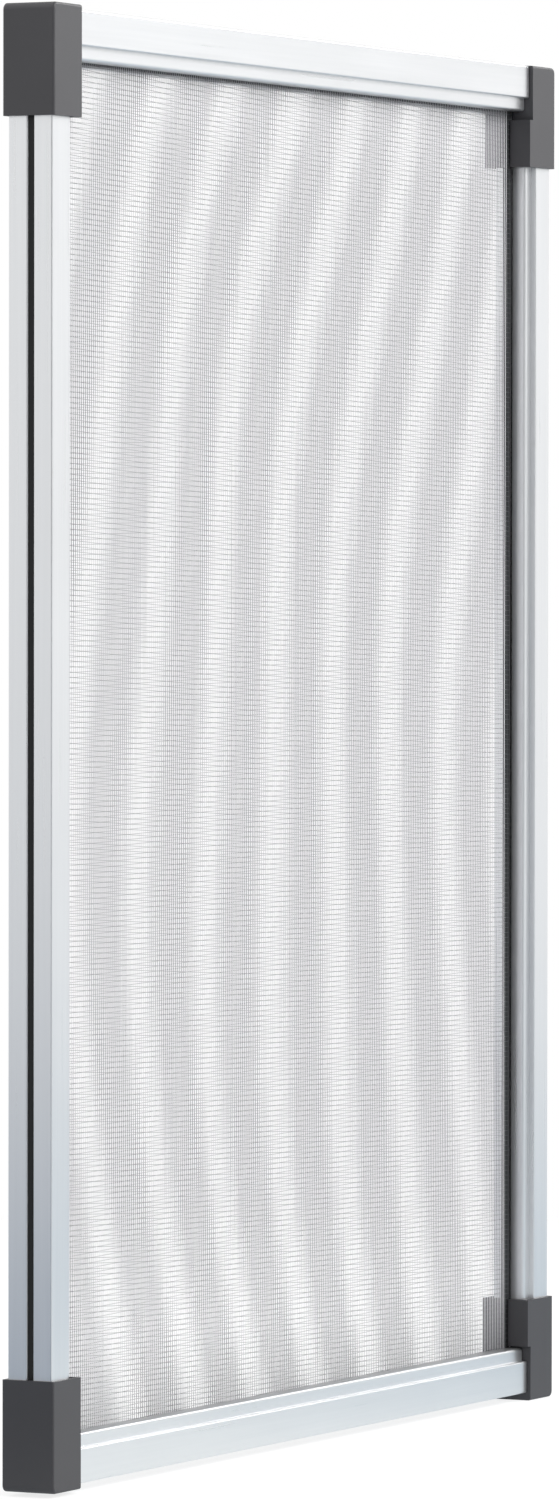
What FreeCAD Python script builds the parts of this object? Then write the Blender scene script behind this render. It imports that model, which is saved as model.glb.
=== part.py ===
import FreeCAD, Part
import Sketcher
import os
import re

# Adjustable window screen of two overlapping framed panels. The front panel holds the
# left end, the rear panel the right end, and the rear panel slides out to the right.
# Frame: X along the width, front faces -Y, Z up, origin under the middle of the closed
# screen. The rear panel is the front panel turned half a turn about Z, apart from the
# lip of its rails, which hooks behind the lip of the front rails. It hangs a little
# lower than the front panel, by the play of the lips.

Vector = FreeCAD.Vector
doc = FreeCAD.newDocument("window_screen")

# Driving dimensions in millimetres
DIMENSIONS = [
    # closed screen, over the corner caps
    ("overall_width", 360.0),
    ("overall_height", 457.0),
    # aluminium section: flat face, then a bead stepped back towards the mesh
    ("flat_width", 10.9),
    ("bead_width", 4.5),
    ("bead_step", 1.8),
    ("metal_wall", 0.7),
    ("bead_round", 1.0),
    ("edge_round", 0.5),
    ("bar_depth", 6.5),
    ("backing_depth", 6.7),
    ("stile_slot", 2.1),
    # lips that hook the two panels together, measured from the outer edge of a rail
    ("hook_place", 5.5),
    ("keeper_place", 0.5),
    ("hook_reach", 3.0),
    ("keeper_reach", 3.0),
    ("lip_wall", 0.5),
    ("lip_start", 16.0),
    # how much lower the rear panel hangs
    ("panel_drop", 1.2),
    # corner caps
    ("cap_wall", 1.3),
    ("cap_fit", 0.1),
    ("cap_height", 34.6),
    ("cap_reach", 16.4),
    ("cap_stop_width", 2.2),
    ("cap_notch_height", 17.2),
    ("cap_round", 2.0),
    ("cap_edge_round", 0.8),
    ("spigot_length", 14.0),
    ("spigot_fit", 0.3),
    # corner keys and end plugs inside the hollow bars
    ("key_length", 26.0),
    ("key_fit", 0.2),
    ("plug_length", 14.0),
    ("plug_recess", 0.5),
    # insect mesh, its cord and the strip on its free edge
    ("mesh_thickness", 0.25),
    ("mesh_ridge", 0.15),
    ("mesh_ridge_width", 0.6),
    ("mesh_web", 1.4),
    ("mesh_lap", 1.05),
    ("mesh_stand_off", 0.05),
    ("mesh_overhang", 0.5),
    ("cord_diameter", 2.8),
    ("cord_sink", 0.15),
    ("strip_width", 3.4),
    ("strip_thickness", 1.25),
    ("strip_inset", 7.5),
    # screws that hold the strip to the plugs
    ("screw_diameter", 1.6),
    ("screw_head", 2.6),
    ("screw_head_height", 0.35),
    ("screw_length", 5.6),
    ("screw_hole", 1.8),
    ("screw_inset", 8.8),
    # spacer that shows as a dark line along the outer edge of each stile
    ("spacer_width", 4.0),
    ("spacer_recess", 0.6),
    # clearance between the panels, and how far a cut runs past what it cuts
    ("running_gap", 0.3),
    ("cut_over", 1.0),
]

# Gaps across and up one mesh panel
GAP_COLUMNS = 9
GAP_ROWS = 11

# Two places nearer than this are the same
SAME = 1e-6

sheet = doc.addObject("Spreadsheet::Sheet", "Sizes")
for row, (alias, value) in enumerate(DIMENSIONS, start=1):
    sheet.set("A%d" % row, alias)
    sheet.set("B%d" % row, str(value))
    sheet.setAlias("B%d" % row, alias)
doc.recompute()
ALIASES = {alias for alias, value in DIMENSIONS}

# Derived sizes, as expressions on the sheet
PROUD = "(cap_wall + cap_fit)"
METAL_WIDTH = f"(overall_width - 2 * {PROUD})"
METAL_HEIGHT = f"(overall_height - 2 * {PROUD})"
FACE = "(flat_width + bead_width)"
DEPTH = "(bar_depth + stile_slot + backing_depth)"
RAIL_GAP = f"({DEPTH} - 2 * bar_depth)"
RAIL_LENGTH = f"({METAL_WIDTH} - cap_reach - running_gap)"
CHANNEL_FLOOR = "(bead_step + metal_wall)"
CORD_FROM_EDGE = f"((flat_width + {FACE}) / 2)"
CORD_DEPTH = "(bar_depth - cord_sink - cord_diameter / 2)"
MESH_EDGE = f"({FACE} - mesh_lap)"
MESH_FACE = "(bar_depth + mesh_stand_off)"
STRIP_FACE = f"({MESH_FACE} + mesh_thickness)"
STRIP_BACK = f"({STRIP_FACE} + strip_thickness)"
STRIP_CENTRE = f"({RAIL_LENGTH} - strip_width / 2)"
SCREW_HEIGHTS = ("screw_inset", f"({METAL_HEIGHT} - screw_inset)")
STOP_REACH = "(cap_reach + cap_stop_width)"
ABOVE_CAP = "(cap_height - cap_wall - cap_fit)"


def tied(expression):
    """The expression with each alias written as a cell of the sheet."""
    return re.sub(r"[a-z_]+", lambda w: "Sizes." + w.group(0) if w.group(0) in ALIASES else w.group(0),
                  expression)


def number(expression):
    """The present value of an expression on the sheet."""
    value = sheet.evalExpression(tied(expression))
    return float(getattr(value, "Value", value))


def bind(obj, **properties):
    """Ties properties of an object to expressions on the sheet."""
    for name, expression in properties.items():
        obj.setExpression(name.replace("__", "."), tied(expression))


def origin_feature(body, role):
    """One of the body's own origin planes or axes."""
    return next(f for f in body.Origin.OriginFeatures if f.Role == role)


def new_body(name):
    return doc.addObject("PartDesign::Body", name)


def new_sketch(body, name, role, offset="0"):
    """A sketch on one of the body's origin planes, raised along that plane's normal."""
    sketch = body.newObject("Sketcher::SketchObject", name)
    sketch.AttachmentSupport = [(origin_feature(body, role), "")]
    sketch.MapMode = "FlatFace"
    bind(sketch, AttachmentOffset__Base__z=offset)
    return sketch


def pin(sketch, index, point, expression, axis):
    """Holds one coordinate of a vertex at an expression: axis 0 across, 1 up."""
    value = number(expression)
    if abs(value) < SAME:
        sketch.addConstraint(Sketcher.Constraint("PointOnObject", index, point, -2 if axis == 0 else -1))
        return
    kind = "DistanceX" if axis == 0 else "DistanceY"
    if value > 0:
        made = sketch.addConstraint(Sketcher.Constraint(kind, -1, 1, index, point, value))
        sketch.setExpression("Constraints[%d]" % made, tied(expression))
    else:
        made = sketch.addConstraint(Sketcher.Constraint(kind, index, point, -1, 1, -value))
        sketch.setExpression("Constraints[%d]" % made, tied(f"-({expression})"))


def outline(sketch, points):
    """A closed outline of straight lines through pairs of expressions."""
    first = sketch.GeometryCount
    places = [Vector(number(x), number(y), 0) for x, y in points]
    count = len(points)
    for i in range(count):
        sketch.addGeometry(Part.LineSegment(places[i], places[(i + 1) % count]))
    for i in range(count):
        sketch.addConstraint(Sketcher.Constraint("Coincident", first + i, 2, first + (i + 1) % count, 1))
    for i, (x, y) in enumerate(points):
        pin(sketch, first + i, 1, x, 0)
        pin(sketch, first + i, 1, y, 1)


def rectangle(sketch, x, y):
    """A rectangle from a pair of expressions across and a pair up."""
    outline(sketch, [(x[0], y[0]), (x[1], y[0]), (x[1], y[1]), (x[0], y[1])])


def circle(sketch, x, y, diameter):
    index = sketch.GeometryCount
    centre = Vector(number(x), number(y), 0)
    sketch.addGeometry(Part.Circle(centre, Vector(0, 0, 1), number(diameter) / 2))
    made = sketch.addConstraint(Sketcher.Constraint("Diameter", index, number(diameter)))
    sketch.setExpression("Constraints[%d]" % made, tied(diameter))
    pin(sketch, index, 3, x, 0)
    pin(sketch, index, 3, y, 1)


def pad(body, sketch, length, name="Pad"):
    feature = body.newObject("PartDesign::Pad", name)
    feature.Profile = sketch
    bind(feature, Length=length)
    doc.recompute()
    return feature


def pocket_through(body, sketch, name):
    """Cuts a sketch right through the body, both ways from its plane."""
    feature = body.newObject("PartDesign::Pocket", name)
    feature.Profile = sketch
    feature.SideType = "Symmetric"
    feature.Type = "ThroughAll"
    doc.recompute()
    return feature


def round_edges(body, base, name, radius, wanted):
    """Rounds each edge of the base feature for which wanted(edge) holds."""
    names = ["Edge%d" % i for i, edge in enumerate(base.Shape.Edges, start=1) if wanted(edge)]
    feature = body.newObject("PartDesign::Fillet", name)
    feature.Base = (base, names)
    bind(feature, Radius=radius)
    doc.recompute()
    return feature


def runs_along_bar(edge, places):
    """True for an edge parallel to the local Z axis at one of the (u, v) places."""
    box = edge.BoundBox
    if box.XLength > SAME or box.YLength > SAME:
        return False
    return any(abs(box.XMin - u) < SAME and abs(box.YMin - v) < SAME for u, v in places)


def block(name, x, y, z):
    """A box between three pairs of expressions."""
    box = doc.addObject("Part::Box", name)
    bind(box, Length=f"({x[1]}) - ({x[0]})", Width=f"({y[1]}) - ({y[0]})", Height=f"({z[1]}) - ({z[0]})",
         Placement__Base__x=x[0], Placement__Base__y=y[0], Placement__Base__z=z[0])
    return box


def rod(name, x, z, y, diameter):
    """A round rod along Y, about the axis at (x, z), between a pair of expressions."""
    cylinder = doc.addObject("Part::Cylinder", name)
    cylinder.Placement.Rotation = FreeCAD.Rotation(Vector(1, 0, 0), -90)
    bind(cylinder, Radius=f"({diameter}) / 2", Height=f"({y[1]}) - ({y[0]})",
         Placement__Base__x=x, Placement__Base__y=y[0], Placement__Base__z=z)
    return cylinder


def join(name, shapes):
    fused = doc.addObject("Part::MultiFuse", name)
    fused.Shapes = shapes
    fused.Refine = True
    return fused


def cut(name, base, tool):
    result = doc.addObject("Part::Cut", name)
    result.Base = base
    result.Tool = tool
    return result


# Places in the shared frame. A front piece is placed from the left outer edge, the
# front face and the bottom of the metal. A rear piece gets the same place, turned half
# a turn about Z and lower by the panels' drop.
LEFT = f"(-{METAL_WIDTH} / 2)"
FRONT = f"(-{DEPTH} / 2)"
BOTTOM = PROUD
TOP = f"({PROUD} + {METAL_HEIGHT})"
UPRIGHT = FreeCAD.Rotation()
SIDEWAYS_DOWN = FreeCAD.Rotation(Vector(0, 0, -1), Vector(0, 1, 0), Vector(1, 0, 0), "XYZ")
SIDEWAYS_UP = FreeCAD.Rotation(Vector(0, 0, 1), Vector(0, 1, 0), Vector(-1, 0, 0), "XYZ")
HALF_TURN = FreeCAD.Rotation(Vector(0, 0, 1), 180)
OVERTURNED = FreeCAD.Rotation(Vector(1, 0, 0), 180)
sub_parts = []


def place(obj, label, panel, x=LEFT, y=FRONT, z=BOTTOM, rotation=UPRIGHT):
    """Labels a finished sub-part and puts it in its panel."""
    obj.Label = label
    if panel == "rear":
        obj.Placement.Rotation = HALF_TURN * rotation
        bind(obj, Placement__Base__x=f"-({x})", Placement__Base__y=f"-({y})", Placement__Base__z=z)
    else:
        obj.Placement.Rotation = rotation
        bind(obj, Placement__Base__x=x, Placement__Base__y=y, Placement__Base__z=f"{z} + panel_drop")
    sub_parts.append(obj)


def bar_section(sketch, depth):
    """Hollow bar with an open cord channel behind its bead.

    Across (u) runs from the outer edge to the mesh, up (v) from the show face to the back.
    """
    outline(sketch, [
        ("0", "0"), ("flat_width", "0"), ("flat_width", "bead_step"), (FACE, "bead_step"), (FACE, depth),
        (f"{FACE} - metal_wall", depth), (f"{FACE} - metal_wall", CHANNEL_FLOOR),
        ("flat_width + metal_wall", CHANNEL_FLOOR), ("flat_width + metal_wall", depth), ("0", depth)])
    inner = f"({depth} - metal_wall)"
    outline(sketch, [
        ("metal_wall", "metal_wall"), ("flat_width - metal_wall", "metal_wall"),
        ("flat_width - metal_wall", CHANNEL_FLOOR), ("flat_width", CHANNEL_FLOOR),
        ("flat_width", inner), ("metal_wall", inner)])


def bar(name, length, depth="bar_depth"):
    """A length of the section along local Z with its long edges rounded."""
    body = new_body(name)
    sketch = new_sketch(body, name + "_section", "XY_Plane")
    bar_section(sketch, depth)
    solid = pad(body, sketch, length, name + "_length")
    face, step, back = number(FACE), number("bead_step"), number(depth)
    solid = round_edges(body, solid, name + "_bead_round", "bead_round",
                        lambda edge: runs_along_bar(edge, [(face, step)]))
    solid = round_edges(body, solid, name + "_edge_round", "edge_round",
                        lambda edge: runs_along_bar(edge, [(0, 0), (number("flat_width"), 0), (0, back)]))
    return body


def mitre(body, name, length, at_start, at_end):
    """Cuts the ends of a bar at 45 degrees, longest along the outer edge."""
    over = f"({FACE} + cut_over)"
    sketch = new_sketch(body, name + "_mitre", "XZ_Plane")
    if at_start:
        outline(sketch, [("0", "0"), (over, "0"), (over, over)])
    if at_end:
        outline(sketch, [("0", length), (over, length), (over, f"{length} - {over}")])
    pocket_through(body, sketch, name + "_mitre_cut")


def rail_lip(body, name, kind, start, length):
    """The hooked lip on the back of a rail.

    The front rails carry a hook that points outwards. The rear rails carry a keeper
    nearer the outer edge, which points inwards and lies between the hook and the rail.
    """
    tip = f"(bar_depth + {RAIL_GAP} - running_gap)"
    lip = f"(({RAIL_GAP} - 3 * running_gap) / 2)"
    sketch = new_sketch(body, name + "_lip", "XY_Plane", start)
    root = "(bar_depth - metal_wall / 2)"
    if kind == "hook":
        near, far, reach = "hook_place", "(hook_place + lip_wall)", "(hook_place - hook_reach)"
    else:
        near, far = "(keeper_place + lip_wall)", "keeper_place"
        reach = "(keeper_place + lip_wall + keeper_reach)"
    outline(sketch, [(near, root), (far, root), (far, tip), (reach, tip), (reach, f"{tip} - {lip}"),
                     (near, f"{tip} - {lip}")])
    return pad(body, sketch, length, name + "_lip_length")


def stile(label, panel):
    """Full-height bar that carries the mesh at the closed side of a panel."""
    body = bar(label, METAL_HEIGHT)
    mitre(body, label, METAL_HEIGHT, True, True)
    place(body, label, panel)


def backing_stile(label, panel):
    """Full-height bar behind the stile, across the slot that clears the other mesh."""
    body = bar(label, f"({METAL_HEIGHT} - 2 * running_gap)", "backing_depth")
    # turned over, so that its show face looks the other way
    place(body, label, panel, x=LEFT, y=f"({FRONT} + {DEPTH})", z=f"({TOP} - running_gap)",
          rotation=OVERTURNED)


def rail(label, panel, at_top):
    """Rail with one mitred end, a hooked lip and a hole for the strip's screw."""
    body = bar(label + "_bar", RAIL_LENGTH)
    mitre(body, label + "_bar", RAIL_LENGTH, at_top, not at_top)
    kind = "hook" if panel == "front" else "keeper"
    start = "lip_start" if at_top else "0"
    rail_lip(body, label + "_bar", kind, start, f"({RAIL_LENGTH} - lip_start)")
    along = STRIP_CENTRE if at_top else "(strip_width / 2)"
    hole = rod(label + "_hole", "screw_inset", along,
               ("(bar_depth - metal_wall - cut_over)", "(bar_depth + cut_over)"), "screw_hole")
    drilled = cut(label, body, hole)
    if at_top:
        place(drilled, label, panel, z=TOP, rotation=SIDEWAYS_DOWN)
    else:
        place(drilled, label, panel, x=f"({LEFT} + {RAIL_LENGTH})", rotation=SIDEWAYS_UP)


# Inside of the hollow bar, with the fit of a key or a plug
HOLLOW = ("(metal_wall + key_fit)", "(flat_width - metal_wall - key_fit)")
HOLLOW_DEPTH = ("(metal_wall + key_fit)", "(bar_depth - metal_wall - key_fit)")


def corner_key(label, panel, at_top):
    """Angle inside the two hollow bars that meet at a mitre."""
    along = ("(metal_wall + key_fit)", "key_length")
    if at_top:
        up = (f"({METAL_HEIGHT} - key_length)", f"({METAL_HEIGHT} - metal_wall - key_fit)")
        low = (f"({METAL_HEIGHT} - {HOLLOW[1]})", f"({METAL_HEIGHT} - {HOLLOW[0]})")
    else:
        up = along
        low = HOLLOW
    leg = block(label + "_leg", HOLLOW, HOLLOW_DEPTH, up)
    foot = block(label + "_foot", along, HOLLOW_DEPTH, low)
    place(join(label, [leg, foot]), label, panel)


def end_plug(label, panel, at_top):
    """Plug in the open end of a rail, drilled for the strip's screw."""
    along = (f"({RAIL_LENGTH} - plug_length)", f"({RAIL_LENGTH} - plug_recess)")
    across = (f"({METAL_HEIGHT} - {HOLLOW[1]})", f"({METAL_HEIGHT} - {HOLLOW[0]})") if at_top else HOLLOW
    solid = block(label + "_block", along, HOLLOW_DEPTH, across)
    bore = rod(label + "_bore", STRIP_CENTRE, SCREW_HEIGHTS[at_top], ("0", "bar_depth"), "screw_hole")
    place(cut(label, solid, bore), label, panel)


def spacer(label, panel):
    """Strip between the stile and its backing, set back from their outer faces."""
    body = new_body(label)
    section = new_sketch(body, label + "_section", "XY_Plane", "running_gap")
    rectangle(section, ("spacer_recess", "(spacer_recess + spacer_width)"),
              ("bar_depth", "(bar_depth + stile_slot)"))
    pad(body, section, f"({METAL_HEIGHT} - 2 * running_gap)", label + "_length")
    place(body, label, panel)


def pattern(body, name, original, axis, count, length):
    """Repeats a feature along one of the body's axes."""
    feature = body.newObject("PartDesign::LinearPattern", name)
    feature.Originals = [original]
    feature.Direction = (origin_feature(body, axis), [""])
    feature.Occurrences = count
    bind(feature, Length=length)
    body.Tip = feature
    doc.recompute()
    return feature


def screen(label, panel):
    """Insect mesh as one wall with a grid of gaps and a ridge along each web between them."""
    body = new_body(label)
    high = f"({METAL_HEIGHT} - {MESH_EDGE})"
    right = f"({RAIL_LENGTH} + mesh_overhang)"
    wall = new_sketch(body, label + "_outline", "XZ_Plane", f"-({MESH_FACE} + mesh_thickness)")
    rectangle(wall, (MESH_EDGE, right), (MESH_EDGE, high))
    pad(body, wall, "mesh_thickness", label + "_wall")

    # open part between the bars and the strip, with a web on each of its edges
    start = f"({FACE} + running_gap)"
    end = f"({RAIL_LENGTH} - strip_width)"
    ceiling = f"({METAL_HEIGHT} - {start})"
    across = f"(({end} - {start} - mesh_web) / {GAP_COLUMNS})"
    up = f"(({ceiling} - {start} - mesh_web) / {GAP_ROWS})"
    ridge = (f"({start} + (mesh_web - mesh_ridge_width) / 2)",
             f"({start} + (mesh_web + mesh_ridge_width) / 2)")

    upright = new_sketch(body, label + "_upright_ridge", "XZ_Plane", f"-({MESH_FACE})")
    rectangle(upright, ridge, (start, ceiling))
    first = pad(body, upright, "mesh_ridge", label + "_upright")
    pattern(body, label + "_uprights", first, "X_Axis", GAP_COLUMNS + 1, f"({across} * {GAP_COLUMNS})")
    level = new_sketch(body, label + "_level_ridge", "XZ_Plane", f"-({STRIP_FACE} + mesh_ridge)")
    rectangle(level, (start, end), ridge)
    first = pad(body, level, "mesh_ridge", label + "_level")
    pattern(body, label + "_levels", first, "Z_Axis", GAP_ROWS + 1, f"({up} * {GAP_ROWS})")

    gap = new_sketch(body, label + "_gap", "XZ_Plane")
    near = f"({start} + mesh_web)"
    rectangle(gap, (near, f"({start} + {across})"), (near, f"({start} + {up})"))
    hole = pocket_through(body, gap, label + "_opening")
    grid = pattern(body, label + "_openings", hole, "X_Axis", GAP_COLUMNS, f"({across} * {GAP_COLUMNS - 1})")
    grid.Direction2 = (origin_feature(body, "Z_Axis"), [""])
    grid.Occurrences2 = GAP_ROWS
    bind(grid, Length2=f"({up} * {GAP_ROWS - 1})")
    doc.recompute()
    place(body, label, panel)


def cord(label, panel):
    """Cord that holds the mesh in the channels of the stile and both rails."""
    body = new_body(label)
    end = f"({RAIL_LENGTH} - plug_recess)"
    edge, high = CORD_FROM_EDGE, f"({METAL_HEIGHT} - {CORD_FROM_EDGE})"
    route = [(end, high), (edge, high), (edge, edge), (end, edge)]
    path = new_sketch(body, label + "_path", "XZ_Plane", f"-({CORD_DEPTH})")
    places = [Vector(number(x), number(y), 0) for x, y in route]
    for i in range(len(places) - 1):
        path.addGeometry(Part.LineSegment(places[i], places[i + 1]))
        if i > 0:
            path.addConstraint(Sketcher.Constraint("Coincident", i - 1, 2, i, 1))
        pin(path, i, 1, route[i][0], 0)
        pin(path, i, 1, route[i][1], 1)
    pin(path, len(places) - 2, 2, route[-1][0], 0)
    pin(path, len(places) - 2, 2, route[-1][1], 1)
    ring = new_sketch(body, label + "_section", "YZ_Plane", end)
    circle(ring, CORD_DEPTH, high, "cord_diameter")
    doc.recompute()
    pipe = body.newObject("PartDesign::AdditivePipe", label + "_sweep")
    pipe.Profile = ring
    pipe.Spine = (path, [])
    pipe.Transition = "Right corner"
    doc.recompute()
    place(body, label, panel)


def edge_strip(label, panel):
    """Strip behind the free edge of the mesh, with a foot at each end on the rails."""
    along = (f"({RAIL_LENGTH} - strip_width)", RAIL_LENGTH)
    top = f"({METAL_HEIGHT} - strip_inset)"
    foot = ("bar_depth", STRIP_BACK)
    foot_end = "(flat_width + metal_wall / 2)"
    strip = block(label + "_blade", along, (STRIP_FACE, STRIP_BACK), ("strip_inset", top))
    low_foot = block(label + "_low_foot", along, foot, ("strip_inset", foot_end))
    high_foot = block(label + "_high_foot", along, foot, (f"({METAL_HEIGHT} - {foot_end})", top))
    through = ("(bar_depth - cut_over)", f"({STRIP_BACK} + cut_over)")
    holes = [rod(label + "_hole_%d" % i, STRIP_CENTRE, height, through, "screw_hole")
             for i, height in enumerate(SCREW_HEIGHTS)]
    solid = join(label + "_solid", [strip, low_foot, high_foot])
    place(cut(label, solid, join(label + "_holes", holes)), label, panel)


def strip_screws(label, panel):
    """The two screws that hold the strip to the plugs, as one group."""
    screws = []
    for i, height in enumerate(SCREW_HEIGHTS):
        shank = rod(label + "_shank_%d" % i, STRIP_CENTRE, height,
                    (f"({STRIP_BACK} - screw_length)", STRIP_BACK), "screw_diameter")
        head = rod(label + "_head_%d" % i, STRIP_CENTRE, height,
                   (STRIP_BACK, f"({STRIP_BACK} + screw_head_height)"), "screw_head")
        screws.append(join(label + "_screw_%d" % i, [shank, head]))
    group = doc.addObject("Part::Compound", label)
    group.Links = screws
    place(group, label, panel)


def rounded_block(name, x, y, z, rounds):
    """A box with some of its edges rounded: rounds maps a radius to a test on an edge."""
    box = block(name + "_block", x, y, z)
    doc.recompute()
    edges = []
    for radius, wanted in rounds:
        for i, edge in enumerate(box.Shape.Edges, start=1):
            if wanted(edge.CenterOfMass):
                edges.append((i, number(radius), number(radius)))
    fillet = doc.addObject("Part::Fillet", name)
    fillet.Base = box
    fillet.Edges = edges
    doc.recompute()
    return fillet


def corner_cap(label, panel, at_top):
    """Moulded cap over a corner: end wall, floor, two cheeks and the stop for a rail.

    Local X runs inwards from the outer edge of the metal, local Z away from the corner.
    The own side holds the panel's own rail. The stop side meets the end of the other
    panel's rail, which slides away from it. A top cap is the mirror image of a bottom
    one, so its own side lies at the far Y and the whole cap is turned over.
    """
    def depth(near, far):
        return (f"({DEPTH} - ({far}))", f"({DEPTH} - ({near}))") if at_top else (near, far)

    out, tall = f"(-{PROUD})", ABOVE_CAP
    middle = f"({DEPTH} / 2)"
    beyond = "(cap_height + cut_over)"
    far_y = f"({DEPTH} + {PROUD})"
    low = number(out)
    own_face = number(depth(out, middle)[1 if at_top else 0])
    stop_face = number(depth(middle, far_y)[0 if at_top else 1])

    def outer_edges(face):
        """The corner edge gets the large round, the edges of the outer face the small one."""
        return [("cap_round", lambda c: abs(c.x - low) < SAME and abs(c.z - low) < SAME),
                ("cap_edge_round", lambda c: abs(c.x - low) < SAME and abs(c.y - face) < SAME),
                ("cap_edge_round", lambda c: abs(c.z - low) < SAME and abs(c.y - face) < SAME)]

    own = rounded_block(label + "_own", (out, "cap_reach"), depth(out, middle), (out, tall),
                        outer_edges(own_face))
    stop = rounded_block(label + "_stop", (out, STOP_REACH), depth(middle, far_y), (out, tall),
                         outer_edges(stop_face))
    shell = join(label + "_shell", [own, stop])

    inside = ("(-cap_fit)", f"({DEPTH} + cap_fit)")
    pocket = block(label + "_pocket", ("(-cap_fit)", f"({FACE} + cap_fit)"), depth(*inside),
                   ("(-cap_fit)", beyond))
    own_way = block(label + "_own_way", ("0", beyond), depth("(-cap_fit)", "(bar_depth + cap_fit)"),
                    ("(-cap_fit)", f"({FACE} + cap_fit)"))
    way = ("(bar_depth - cap_fit)", f"({DEPTH} - bar_depth + running_gap)")
    slot = block(label + "_slot", ("0", beyond), depth(*way), ("(-cap_fit)", beyond))
    notch = block(label + "_notch", ("cap_reach", beyond),
                  depth(f"({middle} - cut_over)", f"({far_y} + cut_over)"),
                  (f"({out} - cut_over)", "cap_notch_height"))
    hollow = cut(label + "_hollow", shell, join(label + "_tools", [pocket, own_way, slot, notch]))

    # spigot in the end of the backing stile
    wall = "(metal_wall + spigot_fit)"
    spigot = block(label + "_spigot", (wall, f"(flat_width - {wall})"),
                   depth(f"({DEPTH} - backing_depth + {wall})", f"({DEPTH} - {wall})"),
                   ("(-cap_fit)", "spigot_length"))
    cap = join(label + "_cap", [hollow, spigot])
    if at_top:
        place(cap, label, panel, y=f"({FRONT} + {DEPTH})", z=TOP, rotation=OVERTURNED)
    else:
        place(cap, label, panel)


for panel, side, other in (("front", "left", "backing"), ("rear", "right", "facing")):
    stile(f"{panel}_{side}_stile", panel)
    rail(f"{panel}_top_rail", panel, True)
    rail(f"{panel}_bottom_rail", panel, False)
    backing_stile(f"{side}_{other}_stile", panel)
    spacer(f"{side}_spacer", panel)
    screen(f"{panel}_screen", panel)
    cord(f"{panel}_cord", panel)
    edge_strip(f"{panel}_edge_strip", panel)
    strip_screws(f"{panel}_strip_screws", panel)
    for end in ("top", "bottom"):
        corner_cap(f"{side}_{end}_cap", panel, end == "top")
        corner_key(f"{panel}_{end}_key", panel, end == "top")
        end_plug(f"{panel}_{end}_plug", panel, end == "top")

doc.recompute()

faults = []
for obj in doc.Objects:
    if "Invalid" in obj.State or "Error" in obj.State:
        faults.append("%s: %s" % (obj.Name, obj.State))
for obj in sub_parts:
    if obj.Shape.isNull() or not obj.Shape.isValid() or not obj.Shape.Solids:
        faults.append("%s: no valid solid" % obj.Label)
if faults:
    raise RuntimeError("; ".join(faults))

os.makedirs("parts", exist_ok=True)
for obj in sub_parts:
    obj.Shape.exportStep(os.path.join("parts", obj.Label + ".step"))
    box = obj.Shape.BoundBox
    print("%-22s %8.1f mm3  x %.2f..%.2f  y %.2f..%.2f  z %.2f..%.2f" % (
        obj.Label, obj.Shape.Volume, box.XMin, box.XMax, box.YMin, box.YMax, box.ZMin, box.ZMax))
print(len(sub_parts), "sub-parts")
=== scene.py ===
import math
import random

import bpy
from mathutils import Matrix, Vector


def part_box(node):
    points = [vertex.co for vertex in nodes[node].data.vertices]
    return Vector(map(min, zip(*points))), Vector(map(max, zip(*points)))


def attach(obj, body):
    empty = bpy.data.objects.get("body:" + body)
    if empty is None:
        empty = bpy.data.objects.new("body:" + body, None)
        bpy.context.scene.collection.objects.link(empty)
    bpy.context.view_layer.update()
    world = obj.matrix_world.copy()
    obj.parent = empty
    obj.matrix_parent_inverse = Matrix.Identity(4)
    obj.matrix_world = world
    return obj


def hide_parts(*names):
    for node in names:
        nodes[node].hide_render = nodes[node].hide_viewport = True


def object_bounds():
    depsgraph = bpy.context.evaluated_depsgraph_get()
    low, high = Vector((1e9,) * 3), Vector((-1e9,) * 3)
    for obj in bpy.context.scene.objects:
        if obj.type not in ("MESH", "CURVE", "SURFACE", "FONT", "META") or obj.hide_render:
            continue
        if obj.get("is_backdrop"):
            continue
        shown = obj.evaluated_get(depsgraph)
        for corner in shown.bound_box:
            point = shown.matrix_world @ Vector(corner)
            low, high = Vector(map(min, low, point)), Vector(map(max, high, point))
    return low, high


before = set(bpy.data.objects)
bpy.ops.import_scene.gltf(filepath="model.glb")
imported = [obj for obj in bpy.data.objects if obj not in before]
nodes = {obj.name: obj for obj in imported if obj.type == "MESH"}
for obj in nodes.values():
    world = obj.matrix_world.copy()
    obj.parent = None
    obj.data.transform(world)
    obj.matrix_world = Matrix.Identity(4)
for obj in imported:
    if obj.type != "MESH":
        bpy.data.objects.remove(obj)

cad_low, cad_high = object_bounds()

MM = 0.001


# Shader maths

class Value:
    """A socket of a node tree, with the operators that the finishes below use."""

    def __init__(self, owner, socket):
        self.owner = owner
        self.socket = socket

    def _math(self, operation, *values):
        return self.owner.node("ShaderNodeMath", {"operation": operation}, dict(enumerate(values)))

    def __add__(self, other):
        return self._math("ADD", self, other)

    __radd__ = __add__

    def __mul__(self, other):
        return self._math("MULTIPLY", self, other)

    __rmul__ = __mul__

    def __sub__(self, other):
        return self._math("SUBTRACT", self, other)

    def __rsub__(self, other):
        return self._math("SUBTRACT", other, self)

    def __truediv__(self, other):
        return self._math("DIVIDE", self, other)

    def at_most(self, other):
        return self._math("MINIMUM", self, other)

    def at_least(self, other):
        return self._math("MAXIMUM", self, other)

    def clamped(self):
        return self.at_least(0.0).at_most(1.0)

    def ramp(self, start, width):
        """0 up to a start, then evenly up to 1 over a width."""
        return ((self - start) / width).clamped()

    def wave(self):
        return self._math("SINE", self)

    def distance(self):
        return self._math("ABSOLUTE", self)


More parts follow.
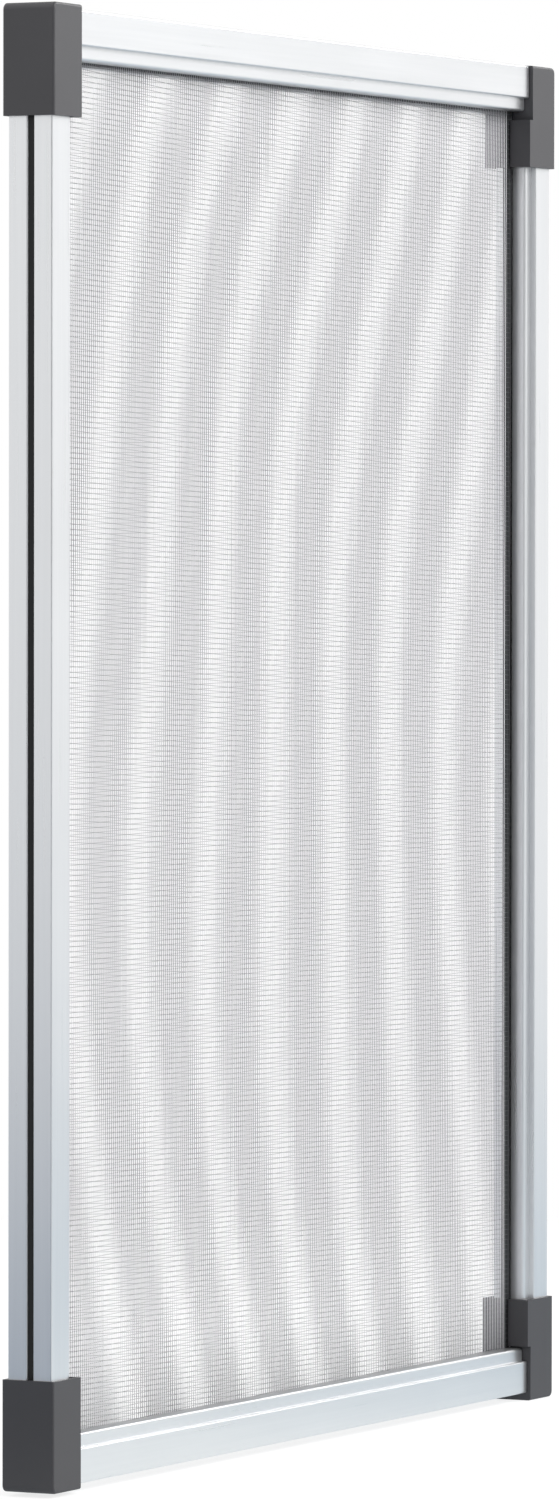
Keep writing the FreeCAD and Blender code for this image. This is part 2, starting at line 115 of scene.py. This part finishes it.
class Nodes:
    """A node tree whose nodes are made with their settings and inputs in one call."""

    def __init__(self, tree):
        self.tree = tree

    def connect(self, value, socket):
        if isinstance(value, Value):
            self.tree.links.new(value.socket, socket)
        else:
            socket.default_value = value

    def node(self, kind, settings=None, inputs=None, out=0):
        """Adds a node: settings first, then the values or links of its sockets."""
        made = self.tree.nodes.new(kind)
        for name, value in (settings or {}).items():
            setattr(made, name, value)
        for name, value in (inputs or {}).items():
            self.connect(value, made.inputs[name])
        return Value(self, made.outputs[out])

    def part_of(self, vector, index):
        return self.node("ShaderNodeSeparateXYZ", inputs={0: vector}, out=index)

    def mix(self, amount, first, second):
        """Colour between the first and the second by an amount from 0 to 1."""
        colour_inputs = {0: amount, 6: first, 7: second}
        return self.node("ShaderNodeMix", {"data_type": "RGBA"}, colour_inputs, out=2)

    def ray(self, kind):
        """1 for light rays of one kind, such as Is Camera Ray, and 0 for others."""
        return self.node("ShaderNodeLightPath", out=kind)


class Finish(Nodes):
    """A node material with one Principled shader."""

    def __init__(self, name):
        self.made = bpy.data.materials.new(name)
        self.made.use_nodes = True
        super().__init__(self.made.node_tree)
        self.shader = self.tree.nodes["Principled BSDF"]

    def set(self, **sockets):
        """Sets sockets of the Principled shader, written with underscores for spaces."""
        for name, value in sockets.items():
            self.connect(value, self.shader.inputs[name.replace("_", " ")])

    def place(self):
        """Place on the piece, which stays with it when it slides."""
        return self.node("ShaderNodeTexCoord", out="Object")

    def noise(self, scale, stretch=(1, 1, 1), detail=3.0, roughness=0.5):
        """Noise from 0 to 1, in cycles for each metre along X, Y and Z."""
        scaled = self.node("ShaderNodeVectorMath", {"operation": "MULTIPLY"},
                           {0: self.place(), 1: tuple(scale * s for s in stretch)})
        return self.node("ShaderNodeTexNoise", None,
                         {"Vector": scaled, "Scale": 1.0, "Detail": detail, "Roughness": roughness})

    def bump(self, height, strength, distance):
        """Surface relief from a height between 0 and 1, over a distance in metres."""
        relief = self.node("ShaderNodeBump", None,
                           {"Height": height, "Strength": strength, "Distance": distance}, out="Normal")
        self.set(Normal=relief)


def grey(level, tint=0.0):
    """A grey from 0 to 1, cooler with a positive tint."""
    return (level * (1 - tint), level, level * (1 + tint), 1.0)


# Finishes

# How the roll's lines are drawn out along upright and level bars
ALONG_UPRIGHT = (1, 1, 0.012)
ALONG_LEVEL = (0.012, 1, 1)


def satin_aluminium(name, roll):
    """Rolled aluminium with a satin surface, faint lines along the roll and painted shade on faces that look
    up.
    """
    finish = Finish(name)
    lines = finish.noise(900.0, roll, detail=4.0)
    cloud = finish.noise(14.0, detail=2.0)
    # Painted shade: faces that look up are mixed towards a darker grey, as shade; the aluminium itself is one
    # colour.
    painted_up_shade = finish.part_of(finish.node("ShaderNodeTexCoord", out="Normal"), "Z").clamped()
    face = finish.mix((0.6 * lines + 0.4 * cloud).clamped(), (0.74, 0.755, 0.77, 1), (0.86, 0.87, 0.88, 1))
    finish.set(Base_Color=finish.mix(0.6 * painted_up_shade, face, grey(0.40, 0.02)), Metallic=0.88,
               Roughness=(0.22 + 0.10 * lines + 0.05 * cloud).clamped())
    finish.bump(lines, 0.12, 0.05 * MM)
    return finish.made


# Width over which the painted shade on the threads over the edge strip fades out
STRIP_SHADE_EDGE = 0.2 * MM


def mesh_thread(name, dark, light):
    """Coated thread of the insect mesh, with painted shade where it lies over the edge strip."""
    finish = Finish(name)
    panel = name.split("_")[0]
    strip_low, strip_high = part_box(f"{panel}_edge_strip")
    strip_middle = (strip_low.x + strip_high.x) / 2
    strip_shade_reach = 0.6 * (strip_high.x - strip_low.x)
    fleck = finish.noise(1500.0, detail=1.0)
    from_middle = (finish.part_of(finish.place(), "X") - strip_middle).distance()
    # Painted shade: threads over the edge strip turn near black, as the shade there.
    painted_strip_shade = ((strip_shade_reach - from_middle) / STRIP_SHADE_EDGE).clamped()
    finish.set(Base_Color=finish.mix(painted_strip_shade, finish.mix(fleck, dark, light), grey(0.10, 0.05)),
               Roughness=(0.40 + 0.2 * fleck).clamped())
    return finish.made


def cap_plastic():
    """Charcoal moulded plastic with a fine matt grain."""
    finish = Finish("cap_plastic")
    grain = finish.noise(2600.0, detail=4.0, roughness=0.6)
    cloud = finish.noise(60.0, detail=2.0)
    finish.set(Base_Color=finish.mix((0.7 * grain + 0.3 * cloud).clamped(), (0.018, 0.017, 0.020, 1),
                                     (0.040, 0.039, 0.045, 1)),
               Roughness=(0.44 + 0.16 * grain).clamped(), Specular_IOR_Level=0.75)
    finish.bump(grain, 0.25, 0.06 * MM)
    return finish.made


def strip_plastic():
    """Black extruded plastic with faint lines along its length."""
    finish = Finish("strip_plastic")
    lines = finish.noise(1600.0, (1, 1, 0.01), detail=3.0)
    finish.set(Base_Color=finish.mix(lines, grey(0.010, 0.03), grey(0.022, 0.03)),
               Roughness=(0.50 + 0.2 * lines).clamped(), Specular_IOR_Level=0.25)
    finish.bump(lines, 0.2, 0.05 * MM)
    return finish.made


RIB_PITCH = 0.9 * MM


def cord_rubber():
    """Soft black cord with the fine ribs that grip the mesh."""
    finish = Finish("cord_rubber")
    position = finish.place()
    ribs = ((finish.part_of(position, "X") + finish.part_of(position, "Z"))
            * (2 * math.pi / RIB_PITCH)).wave() * 0.5 + 0.5
    dust = finish.noise(400.0, detail=3.0)
    finish.set(Base_Color=finish.mix(dust, grey(0.018), grey(0.045)), Roughness=(0.62 + 0.2 * dust).clamped())
    finish.bump(ribs, 0.5, 0.1 * MM)
    return finish.made


def inner_plastic():
    """Nylon of the keys and plugs, slightly mottled."""
    finish = Finish("inner_plastic")
    cloud = finish.noise(300.0, detail=3.0)
    finish.set(Base_Color=finish.mix(cloud, grey(0.05), grey(0.09)), Roughness=(0.45 + 0.2 * cloud).clamped())
    finish.bump(cloud, 0.2, 0.05 * MM)
    return finish.made


def screw_steel():
    """Zinc-plated steel with turning marks."""
    finish = Finish("screw_steel")
    marks = finish.noise(3000.0, (1, 0.1, 1), detail=2.0)
    finish.set(Base_Color=finish.mix(marks, grey(0.45, 0.01), grey(0.62, 0.01)), Metallic=1.0,
               Roughness=(0.28 + 0.18 * marks).clamped())
    finish.bump(marks, 0.15, 0.03 * MM)
    return finish.made


FINISHES = {
    "upright_aluminium": satin_aluminium("upright_aluminium", ALONG_UPRIGHT),
    "level_aluminium": satin_aluminium("level_aluminium", ALONG_LEVEL),
    "cord_rubber": cord_rubber(), "screw_steel": screw_steel(),
    "cap_plastic": cap_plastic(), "strip_plastic": strip_plastic(), "inner_plastic": inner_plastic(),
    # Painted light and shade in the thread colours: the mesh is one colour, but the front layer is near white
    # as if lit, the rear layer dark grey as if in shade, and the rows are darker than the columns as shade.
    "front_row": mesh_thread("front_row", grey(0.20, 0.04), grey(0.30, 0.04)),
    "front_column": mesh_thread("front_column", (0.78, 0.77, 0.80, 1), (0.87, 0.86, 0.89, 1)),
    "rear_row": mesh_thread("rear_row", grey(0.03, 0.08), grey(0.07, 0.08)),
    "rear_column": mesh_thread("rear_column", (0.20, 0.19, 0.22, 1), (0.32, 0.31, 0.34, 1)),
}

# Which finish each piece of the frame has, by the last word of its name
FINISH_OF = {
    "stile": "upright_aluminium", "rail": "level_aluminium", "spacer": "strip_plastic", "cord": "cord_rubber",
    "strip": "strip_plastic", "screws": "screw_steel", "cap": "cap_plastic", "key": "inner_plastic",
    "plug": "inner_plastic", "screen": "rear_column",
}

for name, node in nodes.items():
    finish = FINISHES[FINISH_OF[name.rsplit("_", 1)[1]]]
    for slot in node.material_slots:
        slot.material = finish


# Insect mesh

# Diameters of the threads: the columns are the upright ones, thicker in the front layer
THREADS = {"front_row": 0.13 * MM, "front_column": 0.24 * MM, "rear_row": 0.13 * MM, "rear_column": 0.15 * MM}
THREAD_SIDES = 6
THREAD_STEPS = 16

# How far a thread sways to either side, how often along its length, and by how much of
# a turn the sway shifts from one thread to the next
SWAY = 0.06 * MM
SWAYS = 1.7
SWAY_SHIFT = 0.004

# How far a thread lies off its even place
UNEVEN = 0.04 * MM
weaving = random.Random(18)

# For each panel: spacing and drift of its rows, spacing, drift and bow of its columns,
# and where its sway starts. The drift is how far a thread runs off its own direction
# from one side to the other, the bow how far a column's ends lie to the right of its middle.
NETS = {
    "front": {"rows": (1.697 * MM, -18.7 * MM, 0.0),
              "columns": (1.290 * MM, 0.4 * MM, 0.7 * MM), "start": 0.4},
    "rear": {"rows": (1.574 * MM, 6.3 * MM, 0.0),
             "columns": (1.331 * MM, -0.4 * MM, -0.7 * MM), "start": 2.1},
}


def crossing(start, drift, low, high):
    """The first and last share of a drifting thread that lies between two edges."""
    ends = sorted(((low - start) / drift, (high - start) / drift))
    first, last = max(0.0, ends[0]), min(1.0, ends[1])
    return (first, last) if first < last else None


def thread_lines(low, high, across_low, across_high, spacing, drift, bow, start):
    """Lines of the threads that run from low to high, as lists of (along, across)."""
    lines = []
    count = int((across_high - across_low + abs(drift)) / spacing) + 1
    for i in range(count):
        begin = across_low + min(0.0, -drift) + (i + 0.5) * spacing + weaving.uniform(-UNEVEN, UNEVEN)
        stretch = crossing(begin, drift, across_low, across_high)
        if stretch is None:
            continue
        line = []
        for step in range(THREAD_STEPS + 1):
            share = stretch[0] + (stretch[1] - stretch[0]) * step / THREAD_STEPS
            sway = SWAY * math.sin(2 * math.pi * (SWAYS * share + SWAY_SHIFT * i) + start)
            across = begin + drift * share + bow * (2 * share - 1) ** 2 + sway
            line.append((low + share * (high - low), min(max(across, across_low), across_high)))
        lines.append(line)
    return lines


def thread_net(panel, low, high, rows, columns, start):
    """Crossed threads over the rectangle from low to high, in the plane of X and Z."""
    middle = (low.y + high.y) / 2
    row_lines = thread_lines(low.x, high.x, low.z, high.z, *rows, start)
    column_lines = thread_lines(low.z, high.z, low.x, high.x, *columns, 1.3 * start)
    row_radius, column_radius = THREADS[f"{panel}_row"] / 2, THREADS[f"{panel}_column"] / 2
    through, upward, sideways = Vector((0, 1, 0)), Vector((0, 0, 1)), Vector((1, 0, 0))
    threads = [([Vector((x, middle - column_radius, z)) for x, z in line],
                through * row_radius, upward * row_radius) for line in row_lines]
    threads += [([Vector((x, middle + row_radius, z)) for z, x in line],
                 sideways * column_radius, through * column_radius) for line in column_lines]

    points, faces = [], []
    turns = [2 * math.pi * side / THREAD_SIDES for side in range(THREAD_SIDES)]
    for line, first_radius, second_radius in threads:
        first = len(points)
        for point in line:
            for turn in turns:
                points.append(point + first_radius * math.cos(turn) + second_radius * math.sin(turn))
        for step in range(THREAD_STEPS):
            for side in range(THREAD_SIDES):
                a = first + step * THREAD_SIDES + side
                b = first + step * THREAD_SIDES + (side + 1) % THREAD_SIDES
                faces.append((a, b, b + THREAD_SIDES, a + THREAD_SIDES))
        last = first + THREAD_STEPS * THREAD_SIDES
        faces.append(tuple(reversed(range(first, first + THREAD_SIDES))))
        faces.append(tuple(range(last, last + THREAD_SIDES)))

    name = f"{panel}_net"
    mesh = bpy.data.meshes.new(name)
    mesh.from_pydata(points, [], faces)
    mesh.validate()
    mesh.polygons.foreach_set("use_smooth", [True] * len(mesh.polygons))
    mesh.materials.append(FINISHES[f"{panel}_row"])
    mesh.materials.append(FINISHES[f"{panel}_column"])
    row_faces = len(row_lines) * (THREAD_STEPS * THREAD_SIDES + 2)
    finish_of_face = [0 if i < row_faces else 1 for i in range(len(mesh.polygons))]
    mesh.polygons.foreach_set("material_index", finish_of_face)
    net = bpy.data.objects.new(name, mesh)
    bpy.context.scene.collection.objects.link(net)
    return net


for panel, threads in NETS.items():
    screen = f"{panel}_screen"
    low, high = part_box(screen)
    net = thread_net(panel, low, high, **threads)
    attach(net, f"{panel}_panel")
    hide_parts(screen)


# Floor and backdrop, white to the camera

WHITE = (1, 1, 1, 1)
BLACK = (0, 0, 0, 1)

# Strength of the room's even light on matt surfaces
AMBIENT = 0.66

# Half the side of the floor
FLOOR_REACH = 30.0


def pale_floor():
    """Matt floor that keeps the screen's shadow and fades to white; in the aluminium's gloss it shows a
    painted shadow near the screen's left back and painted light towards the right front.
    """
    finish = Finish("pale_floor")
    position = finish.place()
    away = finish.node("ShaderNodeVectorMath", {"operation": "LENGTH"}, {0: position}, out="Value")
    backdrop = away.ramp(0.45, 0.5)
    distant = away.ramp(0.6, 2.0)
    # Painted shadow and light, in the gloss only: dark blue-grey near the screen's left back and lighter
    # towards the right front, as the floor's shade and lit side.
    to_right = finish.node("ShaderNodeVectorMath", {"operation": "DOT_PRODUCT"},
                           {0: position, 1: (0.89, -0.45, 0.0)}, out="Value")
    right = finish.mix(to_right.ramp(0.0, 0.35), (0.90, 0.94, 0.95, 1), (0.48, 0.58, 0.66, 1))
    painted_shade_and_light = finish.mix(to_right.ramp(-0.25, 0.12), (0.11, 0.18, 0.28, 1), right)
    in_gloss = finish.mix(distant, painted_shade_and_light, grey(0.92))
    seen = finish.ray("Is Camera Ray").at_least(finish.ray("Is Transmission Ray"))
    glossy = finish.ray("Is Glossy Ray")
    finish.set(Base_Color=finish.mix(seen, finish.mix(glossy, grey(0.62), BLACK),
                                     finish.mix(backdrop, grey(0.25), BLACK)),
               Emission_Color=finish.mix(seen, finish.mix(glossy, BLACK, in_gloss),
                                         finish.mix(backdrop, grey(0.78), WHITE)),
               Emission_Strength=1.0, Roughness=0.9, Specular_IOR_Level=0.0)
    return finish.made


def floor():
    """Square floor just below the screen's lowest caps."""
    corners = [(FLOOR_REACH * x, FLOOR_REACH * y, 0) for x, y in ((-1, -1), (1, -1), (1, 1), (-1, 1))]
    mesh = bpy.data.meshes.new("floor")
    mesh.from_pydata(corners, [], [(0, 1, 2, 3)])
    mesh.materials.append(pale_floor())
    made = bpy.data.objects.new("floor", mesh)
    made.location.z = cad_low.z - 0.1 * MM
    bpy.context.scene.collection.objects.link(made)
    made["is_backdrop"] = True


def backdrop():
    """White all round to the camera, a room with one dark side in the gloss, and even light elsewhere."""
    world = bpy.data.worlds.new("studio")
    bpy.context.scene.world = world
    world.use_nodes = True
    room = Nodes(world.node_tree)
    direction = room.node("ShaderNodeTexCoord", out="Generated")
    dark_side = room.node("ShaderNodeVectorMath", {"operation": "DOT_PRODUCT"},
                          {0: direction, 1: (-0.67, -0.74, 0.0)}, out="Value")
    in_gloss = 0.92 - 0.82 * dark_side.ramp(0.5, 0.25)
    glossy = room.ray("Is Glossy Ray")
    clear = room.ray("Is Camera Ray").at_least(room.ray("Is Transmission Ray"))
    unseen = glossy * in_gloss + (1 - glossy) * AMBIENT
    background = world.node_tree.nodes["Background"]
    room.connect(clear + (1 - clear) * unseen, background.inputs["Strength"])
    room.connect(WHITE, background.inputs["Color"])


def softbox(name, place, size, power):
    """A square lamp that faces the middle of the screen."""
    light = bpy.data.lights.new(name, "AREA")
    light.size = size
    light.energy = power
    lamp = bpy.data.objects.new(name, light)
    lamp.location = place
    target = Vector((0, 0, cad_high.z / 2))
    lamp.rotation_mode = "QUATERNION"
    lamp.rotation_quaternion = (target - Vector(place)).to_track_quat("-Z", "Y")
    bpy.context.scene.collection.objects.link(lamp)


def camera():
    """The photograph's camera: a long lens at the left front, level with the screen."""
    data = bpy.data.cameras.new("camera")
    made = bpy.data.objects.new("camera", data)
    bpy.context.scene.collection.objects.link(made)
    bpy.context.scene.camera = made
    place = Vector((-2.4275, -1.2319, 0.2851))
    image_height = 1500
    focal_pixels = 8365.1
    data.sensor_width = 36.0
    data.lens = data.sensor_width * focal_pixels / image_height
    data.clip_start, data.clip_end = 0.05, 200
    turn, tilt, roll = (math.radians(angle) for angle in (62.996, -1.243, 0.073))
    forward = Vector((math.sin(turn) * math.cos(tilt), math.cos(turn) * math.cos(tilt), math.sin(tilt)))
    level = Vector((math.cos(turn), -math.sin(turn), 0))
    upward = level.cross(forward)
    right = math.cos(roll) * level + math.sin(roll) * upward
    up = -math.sin(roll) * level + math.cos(roll) * upward
    rotation = Matrix((right, up, -forward)).transposed()
    made.matrix_world = Matrix.Translation(place) @ rotation.to_4x4()


floor()
backdrop()
softbox("key_light", place=(2.3, -1.7, 1.9), size=1.4, power=60)
softbox("side_light", place=(-2.4, 0.9, 1.9), size=1.6, power=8)
softbox("front_light", place=(-0.6, -2.6, 1.9), size=1.6, power=50)
softbox("back_light", place=(0.4, 2.4, 2.0), size=1.6, power=25)
camera()

bpy.context.scene.view_settings.view_transform = "Standard"

low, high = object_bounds()
